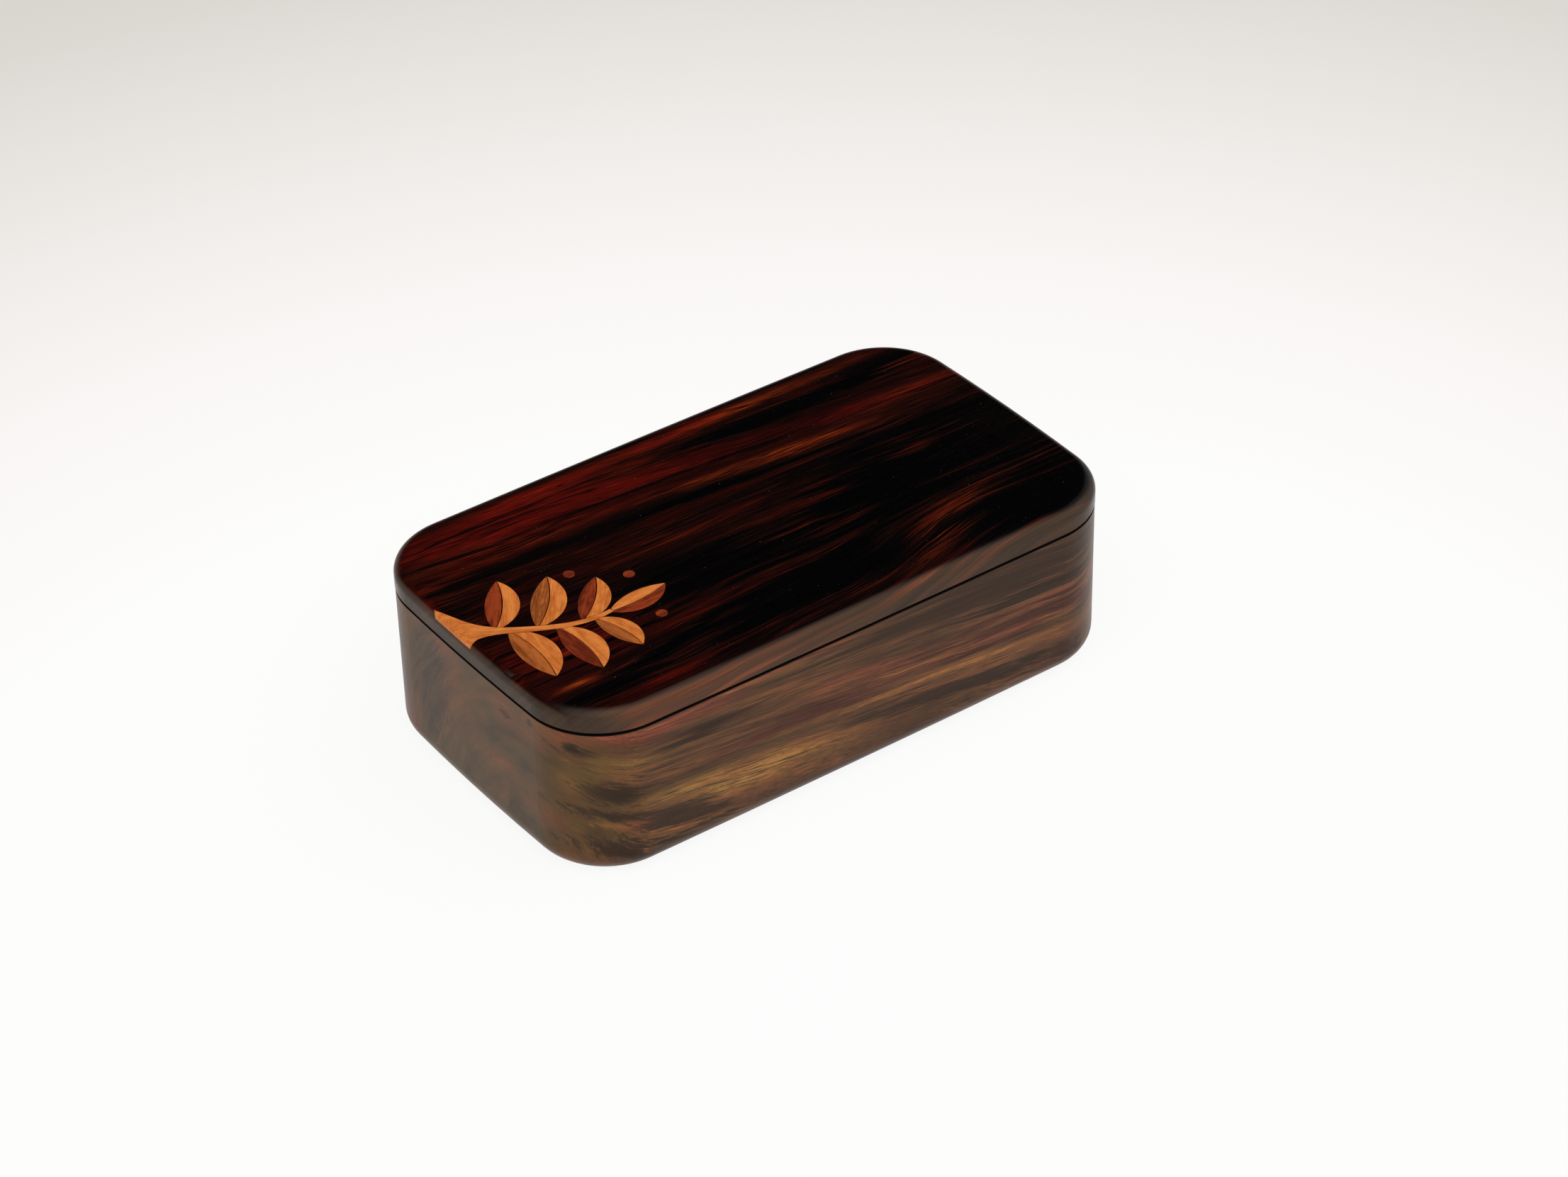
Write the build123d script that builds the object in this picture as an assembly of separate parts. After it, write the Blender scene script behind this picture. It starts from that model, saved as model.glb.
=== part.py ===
from build123d import *
import math
import os

# Trinket box: a hollowed hardwood block with a lift-off lid and a leaf sprig inlaid in the lid.
# Frame: origin under the middle of the base, +X along the box, -Y the long front face, +Z up. Millimetres.

# Box
CHORD_LENGTH = 174.8
CHORD_WIDTH = 100.6
END_BOW = 1.5
SIDE_BOW = 0.45
CORNER_RADIUS = 21.6
RIM_HEIGHT = 45.3
BASE_ROUND = 6.35
RIM_EASE = 0.2
INNER_RIM_EASE = 0.6
WALL = 8.0
FLOOR_THICKNESS = 7.0

# Floor lining
LINING_THICKNESS = 1.8
LINING_CLEARANCE = 0.3
LINING_EDGE_ROUND = 0.5

# Lid
LID_THICKNESS = 7.2
LID_OVERHANG = 0.1
LID_TOP_ROUND = 3.2
LID_BOTTOM_EASE = 0.2
SEAM_GAP = 0.6
SEAM_DEPTH = 1.5

# Locating plate under the lid
PLATE_THICKNESS = 3.2
PLATE_CLEARANCE = 0.4
PLATE_EDGE_CHAMFER = 0.6

# Inlay
INLAY_DEPTH = 2.0
INLAY_GAP = 0.15
CUTTER_MARGIN = 2.0

# Stem of the sprig: a cubic curve through four control points, from beyond the lid's left edge to the last
# leaf. They are measured from the middle of that edge.
STEM_START = (-4.0, 5.0)
STEM_FIRST_PULL = (11.0, -2.0)
STEM_SECOND_PULL = (23.0, -15.0)
STEM_END = (37.0, -12.5)
STEM_HALF_WIDTH = 1.6
STEM_TIP_SHARE = 0.5
FOOT_FLARE = 11.0
FOOT_REACH = 0.42
STEM_STEPS = 9

# Leaves of the sprig, in order from its foot: place along the stem (0 to 1), turn from the stem's direction in
# degrees, then sizes
LEAF_PLACES = (0.28, 0.35, 0.51, 0.62, 0.78, 0.86, 0.97)
LEAF_TURNS = (88.0, -60.0, 80.0, -66.0, 60.0, -72.0, -2.0)
LEAF_LENGTHS = (22.0, 24.0, 23.0, 22.0, 20.0, 17.5, 19.0)
LEAF_WIDTHS = (9.4, 10.4, 9.6, 10.0, 8.6, 7.8, 8.0)
LEAF_BENDS = (-1.8, 1.8, -1.8, 1.8, -1.6, 1.4, -1.2)

# Berries of the sprig, measured from the stem's end: ahead of it, and to its left
BERRY_RADIUS = 1.7
BERRY_PLACES = ((3.5, 19.5), (14.0, 8.0), (7.5, -10.5))

# How near to a height an edge has to lie to count as being at it
HEIGHT_TOLERANCE = 0.001

LID_TOP = RIM_HEIGHT + LID_THICKNESS
LID_LEFT_EDGE = -(CHORD_LENGTH / 2 + END_BOW + LID_OVERHANG)
INLAY_FLOOR = LID_TOP - INLAY_DEPTH


def plan_face(inset):
    """The box's outline seen from above, drawn in by inset: four bowed sides and round corners."""
    x = CHORD_LENGTH / 2 - inset
    y = CHORD_WIDTH / 2 - inset
    front = ThreePointArc((-x, -y), (0, -y - SIDE_BOW), (x, -y))
    right = ThreePointArc((x, -y), (x + END_BOW, 0), (x, y))
    back = ThreePointArc((x, y), (0, y + SIDE_BOW), (-x, y))
    left = ThreePointArc((-x, y), (-x - END_BOW, 0), (-x, -y))
    sharp = make_face([front, right, back, left])
    return fillet(sharp.vertices(), CORNER_RADIUS - inset)


def slab(inset, bottom, thickness):
    """A solid of the box's outline, drawn in by inset, standing on the height bottom."""
    return Pos(0, 0, bottom) * extrude(plan_face(inset), thickness)


def edges_at(solid, height):
    """The edges of a solid that lie flat at one height."""
    return solid.edges().filter_by_position(Axis.Z, height - HEIGHT_TOLERANCE, height + HEIGHT_TOLERANCE)


def make_box_body():
    """The block, hollowed from above, with a rounded lower edge and an eased rim."""
    block = slab(0, 0, RIM_HEIGHT)
    block = fillet(edges_at(block, 0), BASE_ROUND)
    block = fillet(edges_at(block, RIM_HEIGHT), RIM_EASE)
    cavity = slab(WALL, FLOOR_THICKNESS, RIM_HEIGHT - FLOOR_THICKNESS)
    body = block - cavity
    rim = body.faces().sort_by(Axis.Z)[-1]
    return chamfer(rim.inner_wires()[0].edges(), INNER_RIM_EASE)


def make_floor_lining():
    """The soft lining that lies loose on the floor of the cavity."""
    lining = slab(WALL + LINING_CLEARANCE, FLOOR_THICKNESS, LINING_THICKNESS)
    return fillet(edges_at(lining, FLOOR_THICKNESS + LINING_THICKNESS), LINING_EDGE_ROUND)


def make_lid_blank():
    """The lid before its pockets are cut. It rests on a shallow foot, which leaves a thin dark line at the seam."""
    underside = RIM_HEIGHT + SEAM_GAP
    blank = slab(-LID_OVERHANG, underside, LID_THICKNESS - SEAM_GAP)
    blank = fillet(edges_at(blank, LID_TOP), LID_TOP_ROUND)
    blank = fillet(edges_at(blank, underside), LID_BOTTOM_EASE)
    return blank + slab(SEAM_DEPTH, RIM_HEIGHT, SEAM_GAP)


def make_locating_plate():
    """The plate under the lid that drops inside the rim and keeps the lid in place."""
    bottom = RIM_HEIGHT - PLATE_THICKNESS
    plate = slab(WALL + PLATE_CLEARANCE, bottom, PLATE_THICKNESS)
    return chamfer(edges_at(plate, bottom), PLATE_EDGE_CHAMFER)


def stem_point(t):
    """A point of the stem's middle line, and the unit vector along it."""
    controls = (STEM_START, STEM_FIRST_PULL, STEM_SECOND_PULL, STEM_END)
    pulls = [Vector(LID_LEFT_EDGE + x, y) for x, y in controls]
    weights = [(1 - t) ** 3, 3 * t * (1 - t) ** 2, 3 * t ** 2 * (1 - t), t ** 3]
    slopes = [-3 * (1 - t) ** 2, 3 * (1 - t) * (1 - 3 * t), 3 * t * (2 - 3 * t), 3 * t ** 2]
    point = sum((p * w for p, w in zip(pulls, weights)), Vector(0, 0))
    along = sum((p * s for p, s in zip(pulls, slopes)), Vector(0, 0))
    return point, along.normalized()


def stem_half_width(t):
    """Half the stem's width: a slow taper, with a flared foot where the stem runs off the lid's edge."""
    taper = STEM_HALF_WIDTH * (1 - (1 - STEM_TIP_SHARE) * t)
    flare = FOOT_FLARE * max(0.0, 1 - t / FOOT_REACH) ** 3
    return taper + flare


def stem_face(grow):
    """The stem's outline, grown by grow on every side."""
    upper, lower = [], []
    for step in range(STEM_STEPS + 1):
        t = step / STEM_STEPS
        point, along = stem_point(t)
        side = Vector(-along.Y, along.X) * (stem_half_width(t) + grow)
        if step == STEM_STEPS:
            point = point + along * grow
        upper.append(point + side)
        lower.append(point - side)
    tip = Line(upper[-1], lower[-1])
    foot = Line(lower[0], upper[0])
    return make_face([Spline(*upper), tip, Spline(*reversed(lower)), foot])


def leaf_arcs(number):
    """The three arcs of a leaf, all from its base to its tip: left edge, middle rib, right edge."""
    base, along = stem_point(LEAF_PLACES[number])
    heading = math.radians(LEAF_TURNS[number]) + math.atan2(along.Y, along.X)
    ahead = Vector(math.cos(heading), math.sin(heading))
    side = Vector(-ahead.Y, ahead.X)
    tip = base + ahead * LEAF_LENGTHS[number]
    middle = (base + tip) / 2
    half_width = LEAF_WIDTHS[number] / 2
    return [
        ThreePointArc(base, middle + side * (LEAF_BENDS[number] + reach), tip)
        for reach in (half_width, 0, -half_width)
    ]


def leaf_faces(number):
    """The outlines of a leaf's pocket, its light half and its dark half, cut back where the stem passes."""
    left, rib, right = leaf_arcs(number)
    whole = make_face([left, right])
    dark, light = make_face([left, rib]), make_face([rib, right])
    if LEAF_TURNS[number] < 0:
        dark, light = light, dark
    return whole, inlay_outline(light), inlay_outline(dark)


def inlay_outline(half):
    """Half a leaf, drawn in by the gap round it and cut back from the stem."""
    drawn_in = offset(half, -INLAY_GAP, kind=Kind.INTERSECTION)
    return largest(drawn_in - stem_face(INLAY_GAP))


def largest(shape):
    """The biggest face of a shape, so that no sliver is left beside it."""
    return shape.faces().sort_by(SortBy.AREA)[-1]


def berry_face(number, radius):
    """A round berry between the last leaves."""
    ahead, aside = BERRY_PLACES[number]
    point, along = stem_point(1)
    centre = point + along * ahead + Vector(-along.Y, along.X) * aside
    return Pos(centre.X, centre.Y) * Circle(radius)


def prism(face):
    """A cutter of an inlay's outline, from the pocket's floor to above the lid."""
    return Pos(0, 0, INLAY_FLOOR) * extrude(face, INLAY_DEPTH + CUTTER_MARGIN, dir=(0, 0, 1))


def make_lid_and_inlays():
    """The lid with its pockets, and every inlaid piece, flush with the lid's top."""
    blank = make_lid_blank()
    pocket = stem_face(0)
    pieces = {"stem_inlay": stem_face(-INLAY_GAP)}
    for number in range(len(LEAF_PLACES)):
        whole, light, dark = leaf_faces(number)
        pocket = pocket + whole
        pieces[f"leaf_{number + 1}_light_half"] = light
        pieces[f"leaf_{number + 1}_dark_half"] = dark
    for number in range(len(BERRY_PLACES)):
        pocket = pocket + berry_face(number, BERRY_RADIUS)
        pieces[f"berry_{number + 1}"] = berry_face(number, BERRY_RADIUS - INLAY_GAP)
    parts = {name: blank & prism(piece) for name, piece in pieces.items()}
    parts["lid_panel"] = blank - prism(pocket)
    return parts


def make_parts():
    """Every piece of the box by name."""
    parts = {
        "box_body": make_box_body(),
        "floor_lining": make_floor_lining(),
        "locating_plate": make_locating_plate(),
    }
    parts.update(make_lid_and_inlays())
    return parts


os.makedirs("parts", exist_ok=True)
for part_name, part in make_parts().items():
    export_step(part, f"parts/{part_name}.step")
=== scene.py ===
"""Dresses a trinket box: streaked rosewood, a sprig of inlaid woods, a suede lining and a pale studio.

Sizes are in millimetres, and become metres where they reach Blender.
"""

import logging
import math
from dataclasses import dataclass, field, replace
from enum import Enum

import bpy
from mathutils import Matrix, Vector


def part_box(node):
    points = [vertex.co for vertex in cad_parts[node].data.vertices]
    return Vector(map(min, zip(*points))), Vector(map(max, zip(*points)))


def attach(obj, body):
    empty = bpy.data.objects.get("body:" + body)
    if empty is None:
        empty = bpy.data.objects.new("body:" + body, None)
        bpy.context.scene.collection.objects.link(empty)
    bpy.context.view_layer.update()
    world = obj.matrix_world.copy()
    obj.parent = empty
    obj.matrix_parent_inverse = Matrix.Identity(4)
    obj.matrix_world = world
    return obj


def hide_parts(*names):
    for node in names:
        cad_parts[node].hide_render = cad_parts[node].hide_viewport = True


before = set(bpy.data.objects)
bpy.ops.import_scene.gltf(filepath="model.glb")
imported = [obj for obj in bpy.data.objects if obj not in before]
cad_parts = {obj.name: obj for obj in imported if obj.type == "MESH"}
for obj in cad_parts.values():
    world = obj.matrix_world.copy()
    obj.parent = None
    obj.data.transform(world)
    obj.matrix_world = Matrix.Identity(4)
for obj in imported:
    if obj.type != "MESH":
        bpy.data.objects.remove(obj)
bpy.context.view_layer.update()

MM = 0.001
# The middle of the gap between lid and box, in millimetres
SEAM_HEIGHT = 45.6
# How often a search for a point of the outline halves its range
HALVINGS = 40
LOG = logging.getLogger("trinket_box")

Pair = tuple[float, float]
Triple = tuple[float, float, float]
Colour = tuple[float, float, float, float]
Stops = tuple[tuple[float, str], ...]


def paint(code: str) -> Colour:
    """Turns a colour as a screen shows it into the linear one that a shader takes.

    Args:
        code: red, green and blue, two hexadecimal digits each.

    Returns:
        The linear colour, with an alpha of one.
    """
    levels = [int(code[at:at + 2], 16) / 255 for at in (0, 2, 4)]
    linear = [v / 12.92 if v <= 0.04045 else ((v + 0.055) / 1.055) ** 2.4 for v in levels]
    return (*linear, 1.0)


class Wire:
    """A value on its way through a shader. Arithmetic on wires adds the Math nodes that do it."""

    def __init__(self, graph: "Graph", socket: bpy.types.NodeSocket) -> None:
        """Wraps an output socket of one of the graph's nodes."""
        self.graph = graph
        self.socket = socket

    def __getitem__(self, name: str) -> "Wire":
        """Another output of the same node."""
        return Wire(self.graph, self.socket.node.outputs[name])

    def _maths(self, operation: str, *terms: "Term") -> "Wire":
        """Adds a Math node that works on the terms."""
        return self.graph.node("ShaderNodeMath", {"operation": operation}, dict(enumerate(terms)))

    def __add__(self, other: "Term") -> "Wire":
        """This wire plus another."""
        return self._maths("ADD", self, other)

    __radd__ = __add__

    def __sub__(self, other: "Term") -> "Wire":
        """This wire less another."""
        return self._maths("SUBTRACT", self, other)

    def __rsub__(self, other: "Term") -> "Wire":
        """Another less this wire."""
        return self._maths("SUBTRACT", other, self)

    def __mul__(self, other: "Term") -> "Wire":
        """This wire times another."""
        return self._maths("MULTIPLY", self, other)

    __rmul__ = __mul__

    def __truediv__(self, other: "Term") -> "Wire":
        """This wire divided by another."""
        return self._maths("DIVIDE", self, other)

    def __abs__(self) -> "Wire":
        """This wire without its sign."""
        return self._maths("ABSOLUTE", self)

    def times_plus(self, factor: "Term", rest: "Term") -> "Wire":
        """This wire times a factor, plus the rest, in one node."""
        return self._maths("MULTIPLY_ADD", self, factor, rest)

    def at_least(self, floor: "Term") -> "Wire":
        """The larger of this wire and a floor."""
        return self._maths("MAXIMUM", self, floor)

    def at_most(self, ceiling: "Term") -> "Wire":
        """The smaller of this wire and a ceiling."""
        return self._maths("MINIMUM", self, ceiling)

    def angle_from(self, across: "Term") -> "Wire":
        """The angle whose tangent is this wire over another, in radians."""
        return self._maths("ARCTAN2", self, across)

    def ease(self, start: float, end: float) -> "Wire":
        """Turns the wire smoothly from 0 at a start to 1 at an end, which may be the smaller.

        Args:
            start: the value that gives 0.
            end: the value that gives 1.

        Returns:
            A wire from 0 to 1.
        """
        return self.graph.node(
            "ShaderNodeMapRange",
            {"interpolation_type": "SMOOTHSTEP"},
            {"Value": self, "From Min": start, "From Max": end},
        )


Term = Wire | float


class Graph:
    """The shader nodes of one material, or of the world."""

    def __init__(self, tree: bpy.types.NodeTree) -> None:
        """Takes over a node tree and empties it."""
        self.tree = tree
        tree.nodes.clear()

    def node(self, kind: str, settings: dict | None = None, inputs: dict | None = None,
             output: int = 0) -> Wire:
        """Adds a node.

        Args:
            kind: Blender's name for the type of node.
            settings: its own settings, set first; stops are those of a colour ramp.
            inputs: a value or a wire for each of its sockets, by name or number.
            output: which of its outputs to give back.

        Returns:
            A wire from that output, or from nowhere if the node has none.
        """
        made = self.tree.nodes.new(kind)
        for name, setting in (settings or {}).items():
            if name == "stops":
                self._lay_stops(made.color_ramp.elements, setting)
            else:
                setattr(made, name, setting)
        for name, value in (inputs or {}).items():
            if isinstance(value, Wire):
                self.tree.links.new(value.socket, made.inputs[name])
            else:
                made.inputs[name].default_value = value
        return Wire(self, made.outputs[output] if made.outputs else None)

    @staticmethod
    def _lay_stops(elements: bpy.types.ColorRampElements, stops: Stops) -> None:
        """Sets a new ramp's stops, which begin as two.

        Args:
            elements: the ramp's own stops.
            stops: the places and colours that they get.
        """
        for number, (position, code) in enumerate(stops):
            stop = elements[number] if number < 2 else elements.new(position)
            stop.position = position
            stop.color = paint(code)

    def place(self) -> Wire:
        """Where a point of the surface lies on the object, in millimetres."""
        metres = self.node("ShaderNodeTexCoord")["Object"]
        return self.node("ShaderNodeVectorMath", {"operation": "SCALE"}, {0: metres, "Scale": 1 / MM})

    def split(self, vector: Wire) -> tuple[Wire, Wire, Wire]:
        """The three parts of a vector."""
        parts = self.node("ShaderNodeSeparateXYZ", inputs={0: vector})
        return parts["X"], parts["Y"], parts["Z"]

    def join(self, x: Term, y: Term, z: Term) -> Wire:
        """A vector of three parts."""
        return self.node("ShaderNodeCombineXYZ", inputs={"X": x, "Y": y, "Z": z})

    def length(self, vector: Wire) -> Wire:
        """The length of a vector."""
        return self.node("ShaderNodeVectorMath", {"operation": "LENGTH"}, {0: vector}, output=1)

    def noise(self, place: Wire, reach: Triple, detail: float = 0.0, seed: float = 0.0) -> Wire:
        """Soft noise, drawn out along each axis.

        Args:
            place: where the noise is read.
            reach: how far its features go along each axis, in the units of place.
            detail: how many finer layers it has.
            seed: shifts it, so that two noises differ.

        Returns:
            A wire centred on 0, mostly within 0.3 either way.
        """
        shift = (seed, seed * 1.7, seed * 0.6)
        scaled = self.node(
            "ShaderNodeMapping",
            {"vector_type": "POINT"},
            {"Vector": place, "Location": shift, "Scale": tuple(1 / r for r in reach)},
        )
        read = self.node("ShaderNodeTexNoise", inputs={"Vector": scaled, "Scale": 1.0, "Detail": detail})
        return read - 0.5

    def ramp(self, value: Wire, stops: Stops) -> Wire:
        """The colour that a ramp gives a value from 0 to 1."""
        return self.node("ShaderNodeValToRGB", {"stops": stops}, {0: value})

    def blend(self, share: Term, first: Wire | Colour, second: Wire | Colour) -> Wire:
        """A colour between two: the first where the share is 0, the second where it is 1."""
        return self.node("ShaderNodeMix", {"data_type": "RGBA"}, {0: share, 6: first, 7: second}, output=2)

    def bump(self, height: Wire, strength: float = 0.3, distance: float = 0.015) -> Wire:
        """The normal of a surface that rises by a distance, in millimetres, where its height does by 1."""
        inputs = {"Strength": strength, "Distance": distance * MM, "Height": height}
        return self.node("ShaderNodeBump", inputs=inputs)

    def skin(self, colour: Wire, rough: Wire, normal: Wire, index: float, extra: dict | None = None) -> Wire:
        """The shader of a solid surface: its refractive index, and what extra inputs it has by name."""
        inputs = {"Base Color": colour, "Roughness": rough, "Normal": normal, "IOR": index}
        return self.node("ShaderNodeBsdfPrincipled", inputs=inputs | (extra or {}))


@dataclass(frozen=True)
class Finish:
    """A surface finish, which makes its own material.

    Attributes:
        name: the material's name.
    """

    name: str

    def surface(self, graph: Graph) -> Wire:
        """Builds the shader. Each kind of finish has its own."""
        raise NotImplementedError

    def material(self) -> bpy.types.Material:
        """Makes the material.

        Returns:
            A new material with this finish's shader.
        """
        made = bpy.data.materials.new(self.name)
        made.use_nodes = True
        graph = Graph(made.node_tree)
        graph.node("ShaderNodeOutputMaterial", inputs={"Surface": self.surface(graph)})
        return made

    def dress(self, piece: bpy.types.Object) -> None:
        """Gives a piece this finish in place of what it came with.

        Args:
            piece: the piece.
        """
        if not piece.material_slots:
            piece.data.materials.append(None)
        piece.material_slots[0].material = self.material()


@dataclass(frozen=True)
class Outline:
    """The box's outline seen from above: a rectangle with bowed sides and round corners.

    Attributes:
        half_length: from the middle to an end, at a corner.
        half_width: from the middle to a long side, at a corner.
        end_bow: how far the ends bow out.
        side_bow: how far the long sides bow out.
        corner: the radius of the corners.
    """

    half_length: float = 87.4
    half_width: float = 50.3
    end_bow: float = 1.5
    side_bow: float = 0.45
    corner: float = 20.4

    def depth(self, graph: Graph, place: Wire) -> Wire:
        """How far a point lies inside the outline, in millimetres.

        Args:
            graph: the shader that it is worked out in.
            place: the point, in millimetres.

        Returns:
            A wire that is 0 on the outline and grows inwards.
        """
        x, y, _ = graph.split(place)
        x_share = x / self.half_length
        y_share = y / self.half_width
        longest = self.half_length + self.end_bow - self.corner
        widest = self.half_width + self.side_bow - self.corner
        reach_x = (y_share * y_share).times_plus(-self.end_bow, longest)
        reach_y = (x_share * x_share).times_plus(-self.side_bow, widest)
        past_x = abs(x) - reach_x
        past_y = abs(y) - reach_y
        beyond = graph.length(graph.join(past_x.at_least(0.0), past_y.at_least(0.0), 0.0))
        within = past_x.at_least(past_y).at_most(0.0)
        return self.corner - beyond - within

    def points(self, inset: float, count: int) -> list[Pair]:
        """Points along the outline, drawn in by an inset, at even turns round its middle.

        Args:
            inset: how far inside the outline they lie.
            count: how many there are.

        Returns:
            The points' x and y, anticlockwise, starting at the right end.
        """
        corner = self.corner - inset
        found = []
        for number in range(count):
            turn = 2 * math.pi * number / count
            ray = Vector((math.cos(turn), math.sin(turn)))
            low, high = 0.0, self.half_length + self.half_width
            for _ in range(HALVINGS):
                middle = (low + high) / 2
                point = ray * middle
                if self._outside(point, inset, corner):
                    high = middle
                else:
                    low = middle
            found.append((ray.x * low, ray.y * low))
        return found

    def _outside(self, point: Vector, inset: float, corner: float) -> bool:
        """Tells whether a point lies outside the drawn-in outline.

        Args:
            point: the point, seen from above.
            inset: how far the outline is drawn in.
            corner: the corner radius that it then has.

        Returns:
            True where the point lies outside.
        """
        half_x = self.half_length + self.end_bow * (1 - (point.y / self.half_width) ** 2) - inset
        half_y = self.half_width + self.side_bow * (1 - (point.x / self.half_length) ** 2) - inset
        past_x = abs(point.x) - (half_x - corner)
        past_y = abs(point.y) - (half_y - corner)
        beyond = math.hypot(max(past_x, 0), max(past_y, 0)) + min(max(past_x, past_y), 0)
        return beyond > corner


OUTLINE = Outline()


@dataclass(frozen=True)
class Streak:
    """A streak in the wood, lighter or darker than what is round it, with a frayed edge.

    Attributes:
        middle: its middle, in millimetres.
        reach: how far it goes each way from there: along the grain, across and in height.
        tone: what it adds to the wood's tone at its heart, below 0 where it is dark.
        red: what it adds to the wood's redness; below 0 it is golden.
        drift: how far it moves towards +Y for each millimetre along the grain.
        lift: how far it rises for each millimetre along the grain.
        lines: how strong the lines are that run along it, where it leaves the grain.
    """

    middle: Triple
    reach: Triple
    tone: float
    red: float = 0.0
    drift: float = 0.0
    lift: float = 0.0
    lines: float = 0.0

    def shade(self, graph: Graph, place: Wire, fray: Wire) -> tuple[Wire, Term]:
        """How much of the streak a point has, and what the streak adds to the tone at its heart.

        Args:
            graph: the shader that it is worked out in.
            place: the point, in millimetres.
            fray: what roughens the streak's edge, as a share of its reach.

        Returns:
            A wire that is 1 at the streak's heart and 0 outside it, and the tone.
        """
        inside = graph.node(
            "ShaderNodeMapping",
            {"vector_type": "TEXTURE"},
            {
                "Vector": place,
                "Location": self.middle,
                "Rotation": (0.0, -math.atan(self.lift), math.atan(self.drift)),
                "Scale": self.reach,
            },
        )
        mask = (graph.length(inside) + fray).ease(1.2, 0.3)
        if not self.lines:
            return mask, self.tone
        lines = graph.noise(inside, (1.4, 0.1, 1.0), detail=2.0, seed=self.reach[0])
        return mask, lines.times_plus(self.lines, self.tone)


@dataclass(frozen=True)
class PlankGrain:
    """Grain of a board sawn far from the pith: the growth layers stand upright along its length.

    Attributes:
        back_lean: how the grain drifts for each millimetre along, at the back of the board.
        front_lean: the same at its front.
        back: where the back's lean begins and is full, across the board.
        front: where the front's does.
        slant: how far the layers lean over for each millimetre of height.
        sweep: how far the grain sweeps back from the board's front.
        sweep_along: where along the board the sweep begins and ends.
        sweep_across: where across the board it begins and is full.
    """

    back_lean: float = -0.07
    front_lean: float = 0.05
    back: Pair = (-10.0, 30.0)
    front: Pair = (-4.0, -40.0)
    slant: float = 0.8
    sweep: float = 0.0
    sweep_along: Pair = (0.0, 62.0)
    sweep_across: Pair = (-12.0, -32.0)

    def flow(self, graph: Graph, place: Wire) -> Wire:
        """Finds a point's place in the grain.

        Args:
            graph: the shader that it is worked out in.
            place: where the point lies on the object.

        Returns:
            How far it lies along the grain, through its layers, and along its own layer.
        """
        x, y, z = graph.split(place)
        behind = y.ease(*self.back) * x * -self.back_lean
        before = y.ease(*self.front) * x * -self.front_lean
        swept = x.ease(*self.sweep_along) * y.ease(*self.sweep_across) * -self.sweep
        return graph.join(x, z.times_plus(self.slant, y + behind + before + swept), z)


@dataclass(frozen=True)
class HeartGrain:
    """Grain of a block sawn near the pith: the growth rings run round a line along the block.

    Attributes:
        pith: where that line crosses the block's left end, as y and z.
        lean: how much nearer to the pith each ring comes for each millimetre to the right.
        left_end: where the rings' radii are counted from.
        wrap: the radius at which a turn round the pith keeps its true length.
        closeness: how much closer its rings are than the layers of a board.
    """

    pith: Pair = (-26.6, -1.0)
    lean: float = 0.07
    left_end: float = -89.0
    wrap: float = 55.0
    closeness: float = 1.7

    def flow(self, graph: Graph, place: Wire) -> Wire:
        """Finds a point's place in the grain.

        Args:
            graph: the shader that it is worked out in.
            place: where the point lies on the object.

        Returns:
            How far it lies along the grain, through its rings, and along its own ring.
        """
        x, y, z = graph.split(place)
        from_pith_y = y - self.pith[0]
        from_pith_z = z - self.pith[1]
        radius = graph.length(graph.join(from_pith_y, from_pith_z, 0.0))
        ring = (x - self.left_end).times_plus(self.lean, radius)
        turn = from_pith_z.angle_from(from_pith_y) * self.wrap
        return graph.join(x, ring * self.closeness, turn)


@dataclass(frozen=True)
class Noise:
    """A noise that the wood's figure is made of.

    Attributes:
        reach: how far its features go: along the grain, through its layers and along each layer.
        detail: how many finer layers it has.
        shift: what it adds to the wood's seed.
    """

    reach: Triple
    detail: float
    shift: float


class Figure(Enum):
    """The noises in the figure of rosewood."""

    LAYERS = Noise((48.0, 2.2, 11.0), 2.0, 0.0)
    FIBRE = Noise((8.0, 0.26, 0.5), 1.0, 2.0)
    PORES = Noise((2.6, 0.24, 0.24), 1.0, 4.0)
    SWAY = Noise((70.0, 16.0, 24.0), 1.0, 7.0)
    RIPPLE = Noise((16.0, 5.0, 8.0), 1.0, 9.0)
    BROAD = Noise((90.0, 7.5, 26.0), 2.0, 11.0)
    THREADS = Noise((16.0, 0.48, 2.6), 2.0, 13.0)
    REDNESS = Noise((60.0, 5.0, 18.0), 1.0, 15.0)
    PENCIL = Noise((60.0, 2.8, 15.0), 2.0, 17.0)
    SPECKS = Noise((0.4, 0.4, 0.4), 0.0, 19.0)
    PATCHES = Noise((60.0, 15.0, 12.0), 1.0, 23.0)
    BANDS = Noise((60.0, 1.6, 14.0), 2.0, 28.0)


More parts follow.
